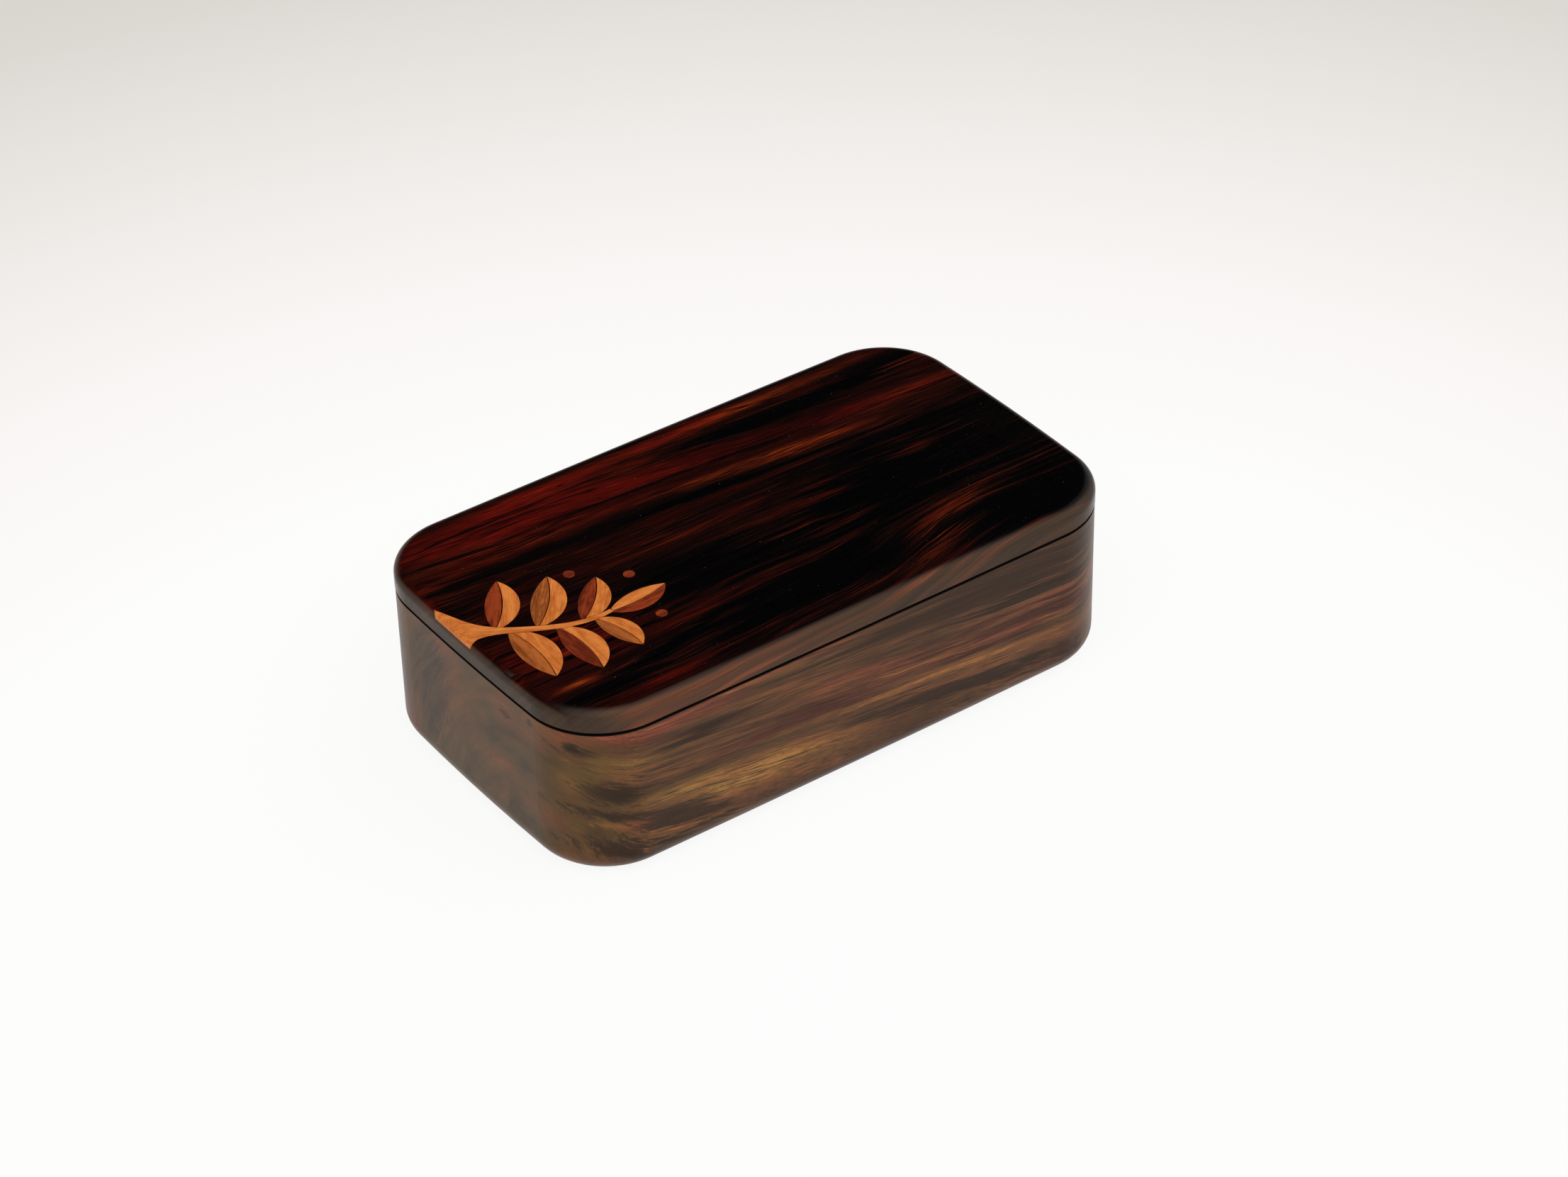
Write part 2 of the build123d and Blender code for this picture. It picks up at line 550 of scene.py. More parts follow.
@dataclass(frozen=True)
class Rosewood(Finish):
    """Oiled rosewood: growth layers, streaks, pencil lines, fibres and short dark pores.

    Attributes:
        grain: how the growth layers run.
        streaks: the streaks that show most.
        brown: the colours of its brown wood, from its blackest to its lightest.
        crimson: the colours of its red wood.
        golden: the colours of its yellow wood.
        painted_flank: the colours of the sides where they differ from the top: their own banded grain, with
            painted light making them paler and greyer than the darker top.
        tone: how light the wood is between its streaks, from 0 to 1.
        breadth: how strong the broad layers are between the streaks.
        layers: how strong the growth layers are.
        threads: how strong the thin lines are.
        fibre: how strong the fibres are.
        pores: how dark the pores are.
        sway: how far the layers wander in slow sweeps, in millimetres.
        ripple: how far they do in quick ones.
        red: how red the wood is between its streaks.
        end_red: what its end grain adds to that.
        seed: which wood it is.
        polish: the roughness of its surface.
        seam: the height of the seam that it darkens at, or none.
        seam_shade_depth: where that dark ends and is full, inwards from the outline.
        seam_shade_height: the same up and down from the seam.
        dust: how strongly specks of dust show on top.
        hollow: whether it has a bare inside, less polished.
        wall: where that inside begins and is full, inwards from the outline.
        index: its refractive index, low because waxed wood mirrors little.
    """

    grain: PlankGrain | HeartGrain = PlankGrain()
    streaks: tuple[Streak, ...] = ()
    brown: Stops = ()
    crimson: Stops = ()
    golden: Stops = ()
    painted_flank: Stops = ()
    tone: float = 0.35
    breadth: float = 0.8
    layers: float = 0.8
    threads: float = 0.6
    fibre: float = 0.35
    pores: float = 0.3
    sway: float = 6.0
    ripple: float = 1.2
    red: float = 0.2
    end_red: float = 0.0
    seed: float = 3.0
    polish: float = 0.3
    # seam: the height of the seam where painted shade darkens the gap between lid and box, or none.
    seam: float | None = None
    # seam_shade_depth: where that painted shade ends and is full, inwards from the outline.
    seam_shade_depth: Pair = (1.2, 0.8)
    seam_shade_height: Pair = (0.64, 0.46)
    dust: float = 0.0
    hollow: bool = False
    wall: Pair = (7.0, 7.8)
    index: float = 1.22

    def surface(self, graph: Graph) -> Wire:
        """Builds the rosewood's shader.

        Args:
            graph: the nodes of its material.

        Returns:
            The shader.
        """
        place = graph.place()
        facing = graph.node("ShaderNodeNewGeometry")["Normal"]
        end, side, up = graph.split(facing)
        # How far the surface faces sideways, where a lid's sides get painted light
        painted_flank = abs(side).ease(0.15, 0.7).at_least(abs(end).ease(0.65, 0.87))
        end = abs(end).ease(0.15, 0.75)
        depth = OUTLINE.depth(graph, place)
        bare = up.ease(-0.6, -0.95)
        if self.hollow:
            bare = depth.ease(*self.wall).at_least(bare)
        grain, bend = self._wander(graph, self.grain.flow(graph, place))
        bent = graph.node("ShaderNodeVectorMath", {"operation": "ADD"}, {0: place, 1: bend})
        fibre = self._noise(graph, grain, Figure.FIBRE)
        pores = self._noise(graph, grain, Figure.PORES).ease(0.16, 0.24)
        tone, red = self._figure(graph, bent, grain, end, fibre)
        tone = tone * (pores * -self.pores + 1.0)
        colour = self._colour(graph, grain, tone, red, painted_flank, end)
        rough = fibre.times_plus(0.15, self.polish) + pores.times_plus(0.12, bare * 0.2)
        # Painted shade in the seam's gap, and real specks of dust on top
        colour, rough = self._paint_seam_shade_and_dust(graph, place, depth, up, colour, rough)
        return graph.skin(colour, rough, graph.bump(fibre * 0.6 - pores), self.index)

    def _noise(self, graph: Graph, place: Wire, part: Figure) -> Wire:
        """One of the figure's noises, as it lies in this wood."""
        noise = part.value
        return graph.noise(place, noise.reach, noise.detail, self.seed + noise.shift)

    def _wander(self, graph: Graph, grain: Wire) -> tuple[Wire, Wire]:
        """Lets the layers wander a little from side to side, as grown wood does.

        Args:
            graph: the shader that it is worked out in.
            grain: a point's place in straight grain.

        Returns:
            Its place in the wandering grain, and how a streak is carried with it.
        """
        along, through, around = graph.split(grain)
        slow = self._noise(graph, grain, Figure.SWAY)
        quick = self._noise(graph, grain, Figure.RIPPLE)
        moved = slow.times_plus(self.sway, quick.times_plus(self.ripple, through))
        carried = slow.times_plus(self.sway / 2, quick * -self.ripple)
        return graph.join(along, moved, around), graph.join(0.0, carried, carried)

    def _figure(self, graph: Graph, place: Wire, grain: Wire, end: Wire, fibre: Wire) -> tuple[Wire, Wire]:
        """Works out the wood's tone and redness, before its pores. Dark wood has calmer detail.

        Args:
            graph: the shader that they are worked out in.
            place: the point, moved as the grain wanders.
            grain: its place in the grain.
            end: how much of the surface there is end grain, from 0 to 1.
            fibre: its finest fibres.

        Returns:
            The tone and the redness.
        """
        broad = self._noise(graph, grain, Figure.BROAD)
        layers = self._noise(graph, grain, Figure.LAYERS)
        threads = self._noise(graph, grain, Figure.THREADS)
        pencil = abs(self._noise(graph, grain, Figure.PENCIL)).ease(0.03, 0.0) * broad.ease(-0.1, 0.15)
        patches = self._noise(graph, place, Figure.PATCHES) * end
        base = (end * -0.5 + 1.0) * broad * self.breadth + patches * 0.6 + end.times_plus(0.06, self.tone)
        red = self._noise(graph, grain, Figure.REDNESS) * (end * -0.8 + 1.6)
        red = red + patches * 3.0 + end.times_plus(self.end_red, self.red)
        fray = layers.times_plus(2.0, threads * 1.4)
        for streak in self.streaks:
            mask, tone = streak.shade(graph, place, fray)
            base = mask.times_plus(tone, base)
            if streak.red:
                red = mask.times_plus(streak.red, red)
        detail = layers.times_plus(self.layers, threads * self.threads)
        detail = detail + fibre.times_plus(self.fibre, pencil * -0.22)
        calm = base.at_least(0.0).times_plus(1.9, 0.1) * (end * -0.85 + 1.0)
        return detail.times_plus(calm, base), red

    def _colour(self, graph: Graph, grain: Wire, tone: Wire, red: Wire, painted_flank: Wire, end: Wire) -> Wire:
        """Turns tone and redness into colour, with painted light on a lid's sides, which are paler and
        browner than its top.

        Args:
            graph: the shader that it is worked out in.
            grain: the point's place in the grain.
            tone: how light the wood is.
            red: how red it is.
            painted_flank: how much of the surface there is a side, from 0 to 1.
            end: how much of it is end grain.

        Returns:
            The colour.
        """
        brown = graph.ramp(tone, self.brown)
        colour = graph.blend(red.ease(0.0, 1.0), brown, graph.ramp(tone, self.crimson))
        if self.golden:
            colour = graph.blend(red.ease(0.0, -1.0), colour, graph.ramp(tone, self.golden))
        # Painted light: the sides take paler, browner colours than the top, over their own banded grain
        if self.painted_flank:
            bands = self._noise(graph, grain, Figure.BANDS) * (end * -0.5 + 1.0)
            side = tone.times_plus(0.15, end * -0.3 + 0.22)
            side = bands.times_plus(1.7, red.times_plus(0.5, side))
            colour = graph.blend(painted_flank, colour, graph.ramp(side, self.painted_flank))
        return colour

    def _paint_seam_shade_and_dust(self, graph: Graph, place: Wire, depth: Wire, up: Wire, colour: Wire,
              rough: Wire) -> tuple[Wire, Wire]:
        """Paints shade into the seam's gap between lid and box, dark and dull, and adds specks of dust on
        top.

        Args:
            graph: the shader that they are worked out in.
            place: the point, in millimetres.
            depth: how far inside the box's outline it lies.
            up: how far the surface faces up, from -1 to 1.
            colour: the clean wood's colour.
            rough: the clean wood's roughness.

        Returns:
            The colour and the roughness.
        """
        if self.seam is not None:
            _, _, z = graph.split(place)
            # Painted shade: the gap at the seam is coloured near black and made dull, on lid and body alike
            seam_shade = depth.ease(*self.seam_shade_depth) * abs(z - self.seam).ease(*self.seam_shade_height)
            colour = graph.blend(seam_shade * 0.97, colour, paint("040303"))
            rough = rough.at_least(seam_shade)
        if self.dust:
            specks = self._noise(graph, place, Figure.SPECKS).ease(0.4, 0.43)
            colour = graph.blend(specks * up.ease(0.9, 0.98) * self.dust, colour, paint("B0ABA4"))
        return colour, rough


class Timber(Enum):
    """The woods of the inlay, by the record's slots."""

    CHERRY = "cherry_inlay"
    WALNUT = "walnut_inlay"
    PADAUK = "padauk_inlay"


@dataclass(frozen=True)
class Veneer(Finish):
    """An inlaid wood: fine straight grain along the piece, soft bands and small flecks.

    Attributes:
        pale: its lightest colour.
        deep: its darkest.
        fleck: the colour of its flecks and pores.
        turn: the direction of its grain, in radians from +X.
        seed: which piece of the wood it is.
        index: its refractive index.
    """

    pale: str
    deep: str
    fleck: str
    turn: float = 0.0
    seed: float = 1.0
    index: float = 1.4

    def surface(self, graph: Graph) -> Wire:
        """Builds the veneer's shader.

        Args:
            graph: the nodes of its material.

        Returns:
            The shader.
        """
        grain = graph.node(
            "ShaderNodeMapping",
            {"vector_type": "TEXTURE"},
            {"Vector": graph.place(), "Rotation": (0.0, 0.0, self.turn)},
        )
        bands = graph.noise(grain, (26.0, 2.2, 4.0), detail=2.0, seed=self.seed)
        fibre = graph.noise(grain, (5.0, 0.28, 0.5), detail=2.0, seed=self.seed + 3)
        mottle = graph.noise(grain, (2.4, 1.6, 2.0), detail=1.0, seed=self.seed + 5)
        flecks = graph.noise(grain, (1.5, 0.2, 0.3), detail=1.0, seed=self.seed + 8).ease(0.14, 0.24)
        share = (bands * 2.0 + fibre * 1.7 + mottle * 0.8 + 0.5).ease(0.0, 1.0)
        colour = graph.blend(share, paint(self.deep), paint(self.pale))
        colour = graph.blend(flecks * 0.45, colour, paint(self.fleck))
        return graph.skin(colour, fibre * 0.2 + 0.32, graph.bump(fibre - flecks), self.index)


@dataclass(frozen=True)
class Suede(Finish):
    """Suede: a short nap that lies this way and that.

    Attributes:
        light: its colour where the nap catches the light.
        dark: its colour where it doesn't.
        sheen: how much its nap shines at its edges.
        index: its refractive index.
    """

    light: str = "4A4644"
    dark: str = "2C2928"
    sheen: float = 0.5
    index: float = 1.35

    def surface(self, graph: Graph) -> Wire:
        """Builds the suede's shader.

        Args:
            graph: the nodes of its material.

        Returns:
            The shader.
        """
        place = graph.place()
        strokes = graph.noise(place, (14.0, 9.0, 9.0), detail=2.0, seed=2.0)
        nap = graph.noise(place, (0.35, 0.35, 0.35), detail=3.0, seed=5.0)
        share = (strokes * 1.6 + nap * 1.5 + 0.5).ease(0.0, 1.0)
        colour = graph.blend(share, paint(self.dark), paint(self.light))
        normal = graph.bump(nap, strength=0.6, distance=0.08)
        sheen = {"Sheen Weight": self.sheen, "Sheen Roughness": 0.5}
        return graph.skin(colour, strokes * 0.1 + 0.92, normal, self.index, sheen)


@dataclass
class Lid:
    """The lid: its panel, the plate that locates it in the box, and the inlaid sprig.

    Attributes:
        panel: the panel's node.
        plate: the locating plate's node.
        top_height: how high the lid's top is.
        seed_step: how far apart the seeds of the inlaid pieces are.
    """

    panel: str = "lid_panel"
    plate: str = "locating_plate"
    top_height: float = field(default_factory=lambda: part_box("lid_panel")[1].z / MM)
    seed_step: float = 3.1

    def panel_streaks(self) -> tuple[Streak, ...]:
        """Lays out the streaks that show on the panel's top, from its back edge to its front.

        Returns:
            The streaks.
        """

        def streak(x: float, y: float, along: float, across: float, tone: float, red: float = 0.0,
                   drift: float = 0.0, lines: float = 0.0) -> Streak:
            """A streak that goes right through the panel."""
            return Streak((x, y, self.top_height), (along, across, 30.0), tone, red, drift, lines=lines)

        return (
            streak(-1.0, 48.4, 66.0, 2.0, -0.12),
            streak(-52.0, 37.0, 56.0, 14.0, 0.2, red=0.5, drift=-0.03),
            streak(-7.0, 44.2, 64.0, 2.8, 0.2, red=0.3),
            streak(43.0, 45.0, 42.0, 3.0, 0.22, red=-0.3),
            streak(-57.0, 42.6, 34.0, 3.5, 0.08, red=0.6),
            streak(39.0, 36.8, 52.0, 3.2, -0.34, drift=-0.01),
            streak(71.0, 36.8, 24.0, 4.6, -0.26),
            streak(68.0, 43.8, 24.0, 2.2, 0.14),
            streak(-23.0, 39.4, 22.0, 0.6, -0.3, drift=-0.02),
            streak(-66.0, 39.6, 16.0, 0.5, -0.3),
            streak(-41.0, 34.6, 56.0, 4.4, 0.0, red=1.1, drift=-0.05),
            streak(6.0, 30.0, 50.0, 4.4, 0.16, red=1.2, drift=-0.08),
            streak(-71.0, 31.6, 20.0, 0.9, -0.26, drift=-0.12),
            streak(-17.0, 28.4, 30.0, 0.7, -0.26, drift=-0.06),
            streak(21.0, 26.4, 20.0, 1.0, -0.26, drift=-0.07),
            streak(-58.0, 25.6, 40.0, 1.6, 0.14, red=-0.4, drift=-0.02),
            streak(-2.0, 22.4, 26.0, 1.8, 0.14, red=-0.3, drift=-0.08),
            streak(29.0, 18.8, 34.0, 3.0, 0.38, red=-0.2, drift=-0.07),
            streak(68.0, 22.6, 30.0, 5.6, 0.26, drift=-0.03),
            streak(-67.0, 21.0, 32.0, 2.2, -0.18, drift=-0.03),
            streak(-6.0, 17.0, 20.0, 1.6, -0.3, drift=-0.06),
            streak(37.0, 13.6, 30.0, 1.0, -0.2, drift=-0.05),
            streak(-21.0, 6.0, 32.0, 6.0, 0.1, drift=-0.04),
            streak(26.0, 5.0, 40.0, 8.0, -0.14, drift=-0.02),
            streak(60.0, 8.6, 34.0, 3.0, -0.12),
            streak(60.0, -0.6, 20.0, 3.4, -0.18),
            streak(40.0, -11.4, 30.0, 17.0, -0.34),
            streak(76.0, -8.0, 32.0, 22.0, -0.22, red=-0.3),
            streak(-14.0, -14.4, 42.0, 9.0, -0.3, drift=-0.06),
            streak(10.0, -13.6, 24.0, 3.6, -0.13, drift=-0.1),
            streak(-32.0, -26.4, 28.0, 6.0, 0.04, red=0.2, drift=0.04),
            streak(-2.0, -36.0, 46.0, 11.0, -0.3, drift=0.06),
            streak(78.0, -38.4, 38.0, 18.0, -0.44),
            streak(5.0, -44.6, 32.0, 2.2, 0.04, red=-0.3, drift=0.1, lines=0.3),
            streak(38.0, -34.0, 23.0, 9.0, 0.23, red=-0.2, drift=0.6, lines=0.15),
            streak(54.0, -28.0, 16.0, 5.0, 0.13, red=-0.2, drift=0.3, lines=0.15),
            streak(-71.0, -18.4, 28.0, 12.0, 0.2, red=0.8),
            streak(-67.0, -12.8, 24.0, 0.7, -0.4, drift=-0.03),
            streak(-63.0, -23.0, 30.0, 0.8, -0.4, drift=-0.05),
            streak(-67.0, -28.0, 22.0, 0.8, -0.3, drift=-0.02),
            streak(-67.0, -20.8, 11.0, 1.2, 0.2, red=-0.4),
            streak(-77.0, -33.4, 11.0, 2.0, 0.42, red=-0.8),
            streak(-60.0, -34.0, 9.0, 1.0, 0.26, red=-0.5),
            streak(-47.0, -33.4, 24.0, 2.0, -0.3, drift=0.12),
            streak(-71.0, -39.8, 20.0, 3.0, -0.3),
            streak(-55.0, -44.4, 24.0, 2.2, 0.1, red=0.2),
            streak(-62.0, -51.0, 44.0, 5.0, 0.1, red=0.7),
        )

    def dress(self) -> None:
        """Finishes every piece of the lid."""
        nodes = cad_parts
        rosewood = Rosewood(
            "lid_rosewood",
            grain=PlankGrain(sweep=10.0),
            streaks=self.panel_streaks(),
            brown=((0.0, "020203"), (0.22, "0A0504"), (0.42, "240A06"), (0.62, "481608"), (0.82, "72290C"),
                   (1.0, "A04A16")),
            crimson=((0.0, "020203"), (0.22, "100504"), (0.42, "300806"), (0.62, "580E08"), (0.82, "7E180C"),
                     (1.0, "A83012")),
            # Painted light: the lid's sides, paler and greyer than its top
            painted_flank=((0.0, "3C3028"), (0.3, "46362A"), (0.55, "523A2C"), (0.75, "643C2A"), (1.0, "784832")),
            tone=0.3,
            breadth=0.5,
            layers=0.9,
            threads=0.9,
            fibre=0.6,
            red=0.25,
            seed=3.0,
            polish=0.22,
            # Painted shade darkens the gap at this seam
            seam=SEAM_HEIGHT,
            dust=0.3,
            index=1.17,
        )
        rosewood.dress(nodes[self.panel])
        LOG.info("lid: panel in %s", rosewood.name)
        plate = Rosewood(
            "plate_rosewood",
            brown=((0.0, "0A0706"), (0.4, "2E1710"), (0.7, "5A3020"), (1.0, "85502F")),
            crimson=((0.0, "0A0706"), (0.4, "32120E"), (0.7, "622A1C"), (1.0, "8C4628")),
            tone=0.45,
            seed=21.0,
            polish=0.42,
        )
        plate.dress(nodes[self.plate])
        LOG.info("lid: locating plate in %s", plate.name)
        self._dress_inlay()

    def _dress_inlay(self) -> None:
        """Finishes the sprig, each piece with its grain along its length."""
        timbers = {
            Timber.CHERRY: Veneer("cherry", pale="E2863E", deep="BC6226", fleck="7E3C16"),
            Timber.WALNUT: Veneer("walnut", pale="B4622A", deep="7E3E16", fleck="40200C"),
            Timber.PADAUK: Veneer("padauk", pale="983C18", deep="5C1C0A", fleck="3C1206"),
        }
        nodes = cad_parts
        slots = {timber.value for timber in Timber}
        inlay = sorted(name for name, node in nodes.items() if node.material_slots[0].name in slots)
        for number, name in enumerate(inlay):
            piece = nodes[name]
            wood = timbers[Timber(piece.material_slots[0].name)]
            turn, seed = self._long_axis(piece), wood.seed + self.seed_step * number
            replace(wood, name=f"{wood.name}_{name}", turn=turn, seed=seed).dress(piece)
        LOG.info("lid: %d inlaid pieces", len(inlay))

    @staticmethod
    def _long_axis(piece: bpy.types.Object) -> float:
        """The direction of a flat piece's length.

        Args:
            piece: a piece that lies flat.

        Returns:
            The angle from +X, in radians.
        """
        points = [vertex.co for vertex in piece.data.vertices]
        middle = sum(points, Vector()) / len(points)
        away = [point - middle for point in points]
        both = sum(a.x * a.y for a in away)
        return 0.5 * math.atan2(2 * both, sum(a.x * a.x - a.y * a.y for a in away))


@dataclass
class Box:
    """The box under the lid: its hollowed body and the suede pad on its floor.

    Attributes:
        body: the body's node.
        lining: the node that the pad stands for.
        pad_inset: how far inside the outline the pad's edge lies.
        pad_tuck: the insets and heights of its lower edge, which is tucked in.
        pad_round: the radius of its upper edge.
        pad_round_steps: how many steps that edge is rounded in.
        pad_crown: how much higher its middle is than its edge.
        pad_rings: the insets of the rings that make up its top, where it rises to the crown.
        pad_points: how many points go round it.
    """

    body: str = "box_body"
    lining: str = "floor_lining"
    pad_inset: float = 8.32
    pad_tuck: tuple[Pair, ...] = ((0.35, 0.0), (0.08, 0.25))
    pad_round: float = 0.8
    pad_round_steps: int = 6
    pad_crown: float = 0.25
    pad_rings: tuple[float, ...] = (2.0, 4.0, 7.0, 11.0)
    pad_points: int = 240

    def body_streaks(self) -> tuple[Streak, ...]:
        """Lays out the streaks that show on the body's front and left end.

        Returns:
            The streaks.
        """

        def front(x: float, z: float, along: float, high: float, tone: float, red: float = 0.0,
                  lift: float = 0.0) -> Streak:
            """A streak that shows on the front."""
            return Streak((x, -51.0, z), (along, 22.0, high), tone, red, lift=lift)

        return (
            front(-70.0, 43.4, 26.0, 3.0, 0.14, red=0.9, lift=-0.03),
            front(-40.0, 44.6, 60.0, 0.7, 0.24, red=0.9),
            front(-50.0, 36.6, 20.0, 2.6, -0.32, lift=0.04),
            front(-24.0, 36.6, 30.0, 2.8, 0.32, red=0.25, lift=-0.13),
            front(-6.0, 31.4, 26.0, 1.4, 0.2, red=0.4, lift=-0.06),
            front(40.0, 39.4, 64.0, 7.6, -0.15),
            front(58.0, 32.6, 34.0, 2.6, -0.36, lift=-0.03),
            front(2.0, 27.0, 54.0, 5.0, -0.02, red=0.6, lift=-0.03),
            front(60.0, 28.4, 22.0, 2.0, 0.08, red=0.4, lift=-0.02),
            front(60.0, 23.4, 32.0, 4.0, -0.14, red=0.9),
            front(-72.0, 35.4, 12.0, 4.0, 0.18, red=-0.4, lift=-0.12),
            front(-84.0, 31.0, 6.0, 5.0, 0.1, red=-0.4),
            front(-78.0, 27.0, 8.0, 4.4, -0.36, lift=-0.25),
            front(-78.0, 19.0, 16.0, 2.0, -0.34, lift=-0.2),
            front(-74.0, 15.6, 8.0, 1.6, 0.2, red=0.5, lift=-0.2),
            front(-75.0, 8.0, 13.0, 3.6, -0.34, lift=-0.2),
            front(-52.0, 42.4, 24.0, 1.6, 0.12, red=0.9, lift=-0.02),
            front(-84.0, 40.0, 4.0, 1.9, -0.3),
            front(-58.0, 21.4, 24.0, 2.6, 0.16, red=-0.4, lift=-0.05),
            front(-34.0, 15.2, 42.0, 7.0, 0.36, red=-0.5, lift=-0.07),
            front(-24.0, 19.4, 26.0, 1.2, 0.14, red=-0.5, lift=-0.08),
            front(30.0, 18.8, 54.0, 1.5, 0.36, red=-0.2, lift=-0.08),
            front(58.0, 14.4, 32.0, 2.6, 0.24, red=0.1, lift=-0.06),
            front(26.0, 13.4, 44.0, 2.8, -0.4, lift=-0.13),
            front(-57.6, 12.4, 15.0, 4.4, -0.44, lift=-0.2),
            front(-52.0, 6.6, 14.0, 1.8, -0.3, lift=-0.05),
            Streak((-89.0, 18.0, 26.0), (12.0, 8.0, 18.0), -0.16),
            Streak((-89.0, 45.0, 34.0), (12.0, 5.0, 11.0), 0.04, red=0.9),
            Streak((-89.0, 34.0, 8.0), (12.0, 7.0, 8.0), 0.04, red=1.0),
            Streak((-89.0, -24.0, 37.0), (12.0, 14.0, 5.0), 0.04, red=0.4),
            Streak((-88.0, -16.6, 39.2), (9.0, 2.6, 1.5), -0.3),
            Streak((-88.0, -28.5, 42.4), (9.0, 1.6, 1.1), -0.3),
            Streak((-86.0, -41.0, 41.3), (9.0, 2.6, 1.6), -0.36),
        )

    def dress(self) -> None:
        """Finishes the body and makes its lining."""
        rosewood = Rosewood(
            "box_rosewood",
            grain=HeartGrain(),
            streaks=self.body_streaks(),
            brown=((0.0, "2E2014"), (0.25, "3E2A1C"), (0.5, "5C3E28"), (0.75, "7C4E2E"), (1.0, "A46C3C")),
            crimson=((0.0, "2E1C14"), (0.25, "40241A"), (0.5, "603426"), (0.75, "824632"), (1.0, "A46240")),
            golden=((0.0, "2E2414"), (0.25, "403020"), (0.5, "5E4628"), (0.75, "7E5C30"), (1.0, "A48044")),
            tone=0.42,
            breadth=0.8,
            layers=0.8,
            threads=0.65,
            fibre=0.5,
            red=0.05,
            end_red=-0.6,
            seed=31.0,
            polish=0.34,
            pores=0.4,
            # Painted shade darkens the gap at this seam
            seam=SEAM_HEIGHT,
            hollow=True,
        )
        rosewood.dress(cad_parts[self.body])
        LOG.info("box: body in %s", rosewood.name)
        pad = self.build_pad()
        Suede("suede").dress(pad)
        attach(pad, "box")
        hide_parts(self.lining)
        LOG.info("box: lining of %d points", len(pad.data.vertices))

    def build_pad(self) -> bpy.types.Object:
        """Builds the lining: a thin pad with a soft edge and a slightly uneven, crowned top.

        Returns:
            The pad, lying on the floor of the box.
        """
        low, high = (corner.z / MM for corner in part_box(self.lining))
        rings = self._pad_profile(high - low)
        count = self.pad_points
        points: list[Triple] = []
        for inset, height in rings:
            points += [(x, y, low + height) for x, y in OUTLINE.points(self.pad_inset + inset, count)]
        faces: list[tuple[int, ...]] = []
        for lower in range(0, (len(rings) - 1) * count, count):
            upper = lower + count
            for n in range(count):
                beside = (n + 1) % count
                faces.append((lower + n, lower + beside, upper + beside, upper + n))
        faces.append(tuple(reversed(range(count))))
        faces.append(tuple(range(len(points) - count, len(points))))
        mesh = bpy.data.meshes.new("suede_pad")
        mesh.from_pydata([tuple(v * MM for v in point) for point in points], [], faces)
        mesh.polygons.foreach_set("use_smooth", [True] * len(mesh.polygons))
        pad = bpy.data.objects.new("suede_pad", mesh)
        bpy.context.scene.collection.objects.link(pad)
        return pad

    def _pad_profile(self, thickness: float) -> list[Pair]:
        """Draws the pad's section from its lower edge to near its middle.

        Args:
            thickness: how thick the pad is at its middle.

        Returns:
            The section's points, as inset and height.
        """
        edge = thickness - self.pad_crown
        section = [*self.pad_tuck, (0.0, edge - self.pad_round)]
        for step in range(1, self.pad_round_steps + 1):
            turn = math.pi / 2 * step / self.pad_round_steps
            inset = self.pad_round * (1 - math.cos(turn))
            section.append((inset, edge - self.pad_round * (1 - math.sin(turn))))
        for inset in self.pad_rings:
            rise = inset / self.pad_rings[-1]
            section.append((inset, edge + self.pad_crown * rise * (2 - rise)))
        return section


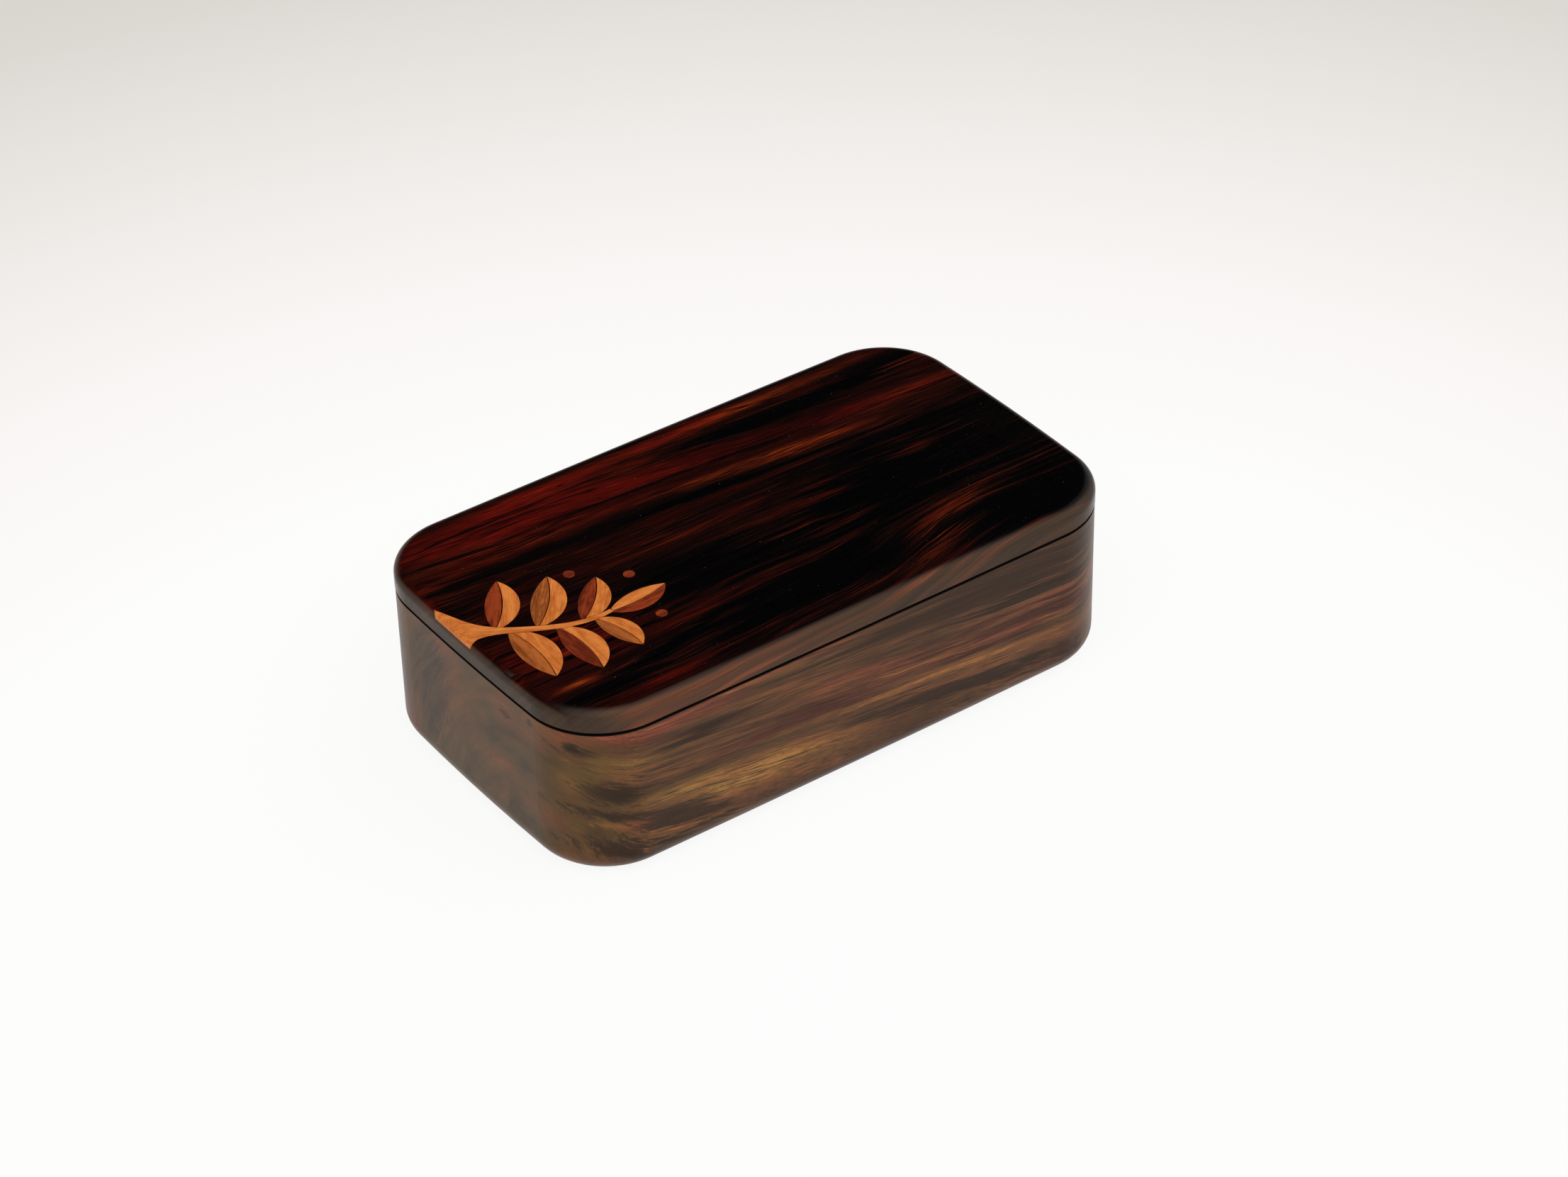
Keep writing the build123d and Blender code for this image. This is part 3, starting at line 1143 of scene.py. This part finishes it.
@dataclass
class Studio:
    """A pale floor, soft lights and the camera.

    Attributes:
        azimuth: which way the camera looks, in degrees from +Y towards +X.
        elevation: how far above the object it stands, in degrees.
        roll: how far it is rolled, in degrees.
        aim: the point that its distance is measured from.
        offset: where that point lies in the camera's view: right, up and away.
        lens: its focal length.
        sensor: how wide its sensor is.
        pool: the middle of the painted pool of light on the floor.
        floor_radius: how far the floor goes.
        floor_sides: how many sides the round floor has.
    """

    azimuth: float = 35.433
    elevation: float = 35.659
    roll: float = -1.359
    aim: Triple = (0.0, 0.0, 25.0)
    offset: Triple = (-8.966, -3.395, 1134.8)
    lens: float = 97.335
    sensor: float = 36.0
    pool: Pair = (-60.0, -110.0)
    floor_radius: float = 6000.0
    floor_sides: int = 96

    def build(self) -> None:
        """Sets up the whole studio."""
        self.build_camera()
        self.build_floor()
        self.build_world()
        self.build_light("key", toward=(-0.486, -0.324, 0.811), distance=1700.0, size=1700.0, power=8.0)
        self.build_light("fill", toward=(0.05, -0.5, 0.866), distance=1900.0, size=1500.0, power=3.0)
        self.build_light("side", toward=(0.85, 0.2, 0.5), distance=1900.0, size=1400.0, power=4.0)
        bpy.context.scene.view_settings.view_transform = "Standard"
        LOG.info("studio: camera, floor, world and three lights")

    def build_camera(self) -> None:
        """Puts the camera where the photograph was taken from."""
        azimuth, elevation, roll = (math.radians(v) for v in (self.azimuth, self.elevation, self.roll))
        forward = Vector((
            math.sin(azimuth) * math.cos(elevation),
            math.cos(azimuth) * math.cos(elevation),
            -math.sin(elevation),
        ))
        level = Vector((math.cos(azimuth), -math.sin(azimuth), 0.0))
        upright = level.cross(forward)
        right = level * math.cos(roll) + upright * math.sin(roll)
        up = upright * math.cos(roll) - level * math.sin(roll)
        data = bpy.data.cameras.new("camera")
        data.lens = self.lens
        data.sensor_width = self.sensor
        data.clip_start = 0.01
        data.clip_end = 50.0
        camera = bpy.data.objects.new("camera", data)
        bpy.context.scene.collection.objects.link(camera)
        place = Vector(self.aim) - right * self.offset[0] - up * self.offset[1] - forward * self.offset[2]
        turned = Matrix((right, up, -forward)).transposed().to_4x4()
        camera.matrix_world = Matrix.Translation(place * MM) @ turned
        bpy.context.scene.camera = camera

    def build_light(self, name: str, toward: Triple, distance: float, size: float, power: float) -> None:
        """Hangs a soft square light that faces the object.

        Args:
            name: the light's name.
            toward: the direction of the light from the object.
            distance: how far away it hangs.
            size: the length of its sides.
            power: its power in watts.
        """
        data = bpy.data.lights.new(name, "AREA")
        data.shape = "SQUARE"
        data.size = size * MM
        data.energy = power
        light = bpy.data.objects.new(name, data)
        bpy.context.scene.collection.objects.link(light)
        direction = Vector(toward).normalized()
        light.location = direction * distance * MM
        light.rotation_mode = "QUATERNION"
        light.rotation_quaternion = direction.to_track_quat("Z", "Y")

    def build_floor(self) -> None:
        """Lays a pale round floor that keeps a little of the object's shadow."""
        radius = self.floor_radius * MM
        turns = [2 * math.pi * side / self.floor_sides for side in range(self.floor_sides)]
        ring = [(radius * math.cos(turn), radius * math.sin(turn), 0.0) for turn in turns]
        mesh = bpy.data.meshes.new("floor")
        mesh.from_pydata(ring, [], [tuple(range(self.floor_sides))])
        floor = bpy.data.objects.new("floor", mesh)
        bpy.context.scene.collection.objects.link(floor)
        Backdrop("floor_paper", pool=self.pool).dress(floor)

    def build_world(self) -> None:
        """Makes the room: pale near the horizon and above the front, and dark behind the object."""
        world = bpy.data.worlds.new("room")
        world.use_nodes = True
        bpy.context.scene.world = world
        graph = Graph(world.node_tree)
        _, back, height = graph.split(graph.node("ShaderNodeTexCoord")["Generated"])
        above = height.ease(0.16, 0.32)
        colour = graph.blend(above, paint("D0CCC6"), paint("0C0C0D"))
        colour = graph.blend((height - back).ease(0.35, 0.75) * above, colour, paint("FFFFFF"))
        light = graph.node("ShaderNodeBackground", inputs={"Color": colour, "Strength": 1.0})
        graph.node("ShaderNodeOutputWorld", inputs={"Surface": light})


@dataclass(frozen=True)
class Backdrop(Finish):
    """White paper under the object, with a painted pool of light before it that fades further off.

    Attributes:
        pool: the middle of that pool, in millimetres.
    """

    pool: Pair

    def surface(self, graph: Graph) -> Wire:
        """Builds the paper's shader.

        Args:
            graph: the nodes of its material.

        Returns:
            The shader.
        """
        x, y, _ = graph.split(graph.place())
        metres_away = graph.length(graph.join(x - self.pool[0], y - self.pool[1], 0.0)) * MM
        # Painted pool of light: the paper glows white near the pool and greyer further off
        glow = graph.ramp(metres_away, (
            (0.0, "FFFFFF"), (0.24, "FFFFFE"), (0.33, "FCF9F8"), (0.41, "F2EFEC"), (0.49, "E6E3DE"),
            (0.56, "DAD7D0"), (0.68, "D0CCC6"),
        ))
        lit = graph.node("ShaderNodeBsdfDiffuse", inputs={"Color": paint("F4F2F0")})
        shown = graph.node("ShaderNodeEmission", inputs={"Color": glow, "Strength": 1.0})
        path = graph.node("ShaderNodeLightPath")
        # Painted shade: in reflections the paper shows darker, more so towards the back
        reflection_shade = path["Is Glossy Ray"] * y.ease(10.0, 90.0).times_plus(0.35, 0.12)
        glow = graph.blend(reflection_shade, glow, paint("000000"))
        direct = (path["Is Camera Ray"] + path["Is Glossy Ray"] + path["Is Transmission Ray"]).at_most(1.0)
        return graph.node("ShaderNodeMixShader", inputs={0: direct * 0.9, 1: lit, 2: shown})


def main() -> None:
    """Builds and dresses the object, then sets up the studio round it."""
    logging.basicConfig(level=logging.INFO, format="%(name)s: %(message)s")
    Box().dress()
    Lid().dress()
    Studio().build()


if __name__ == "__main__":
    main()
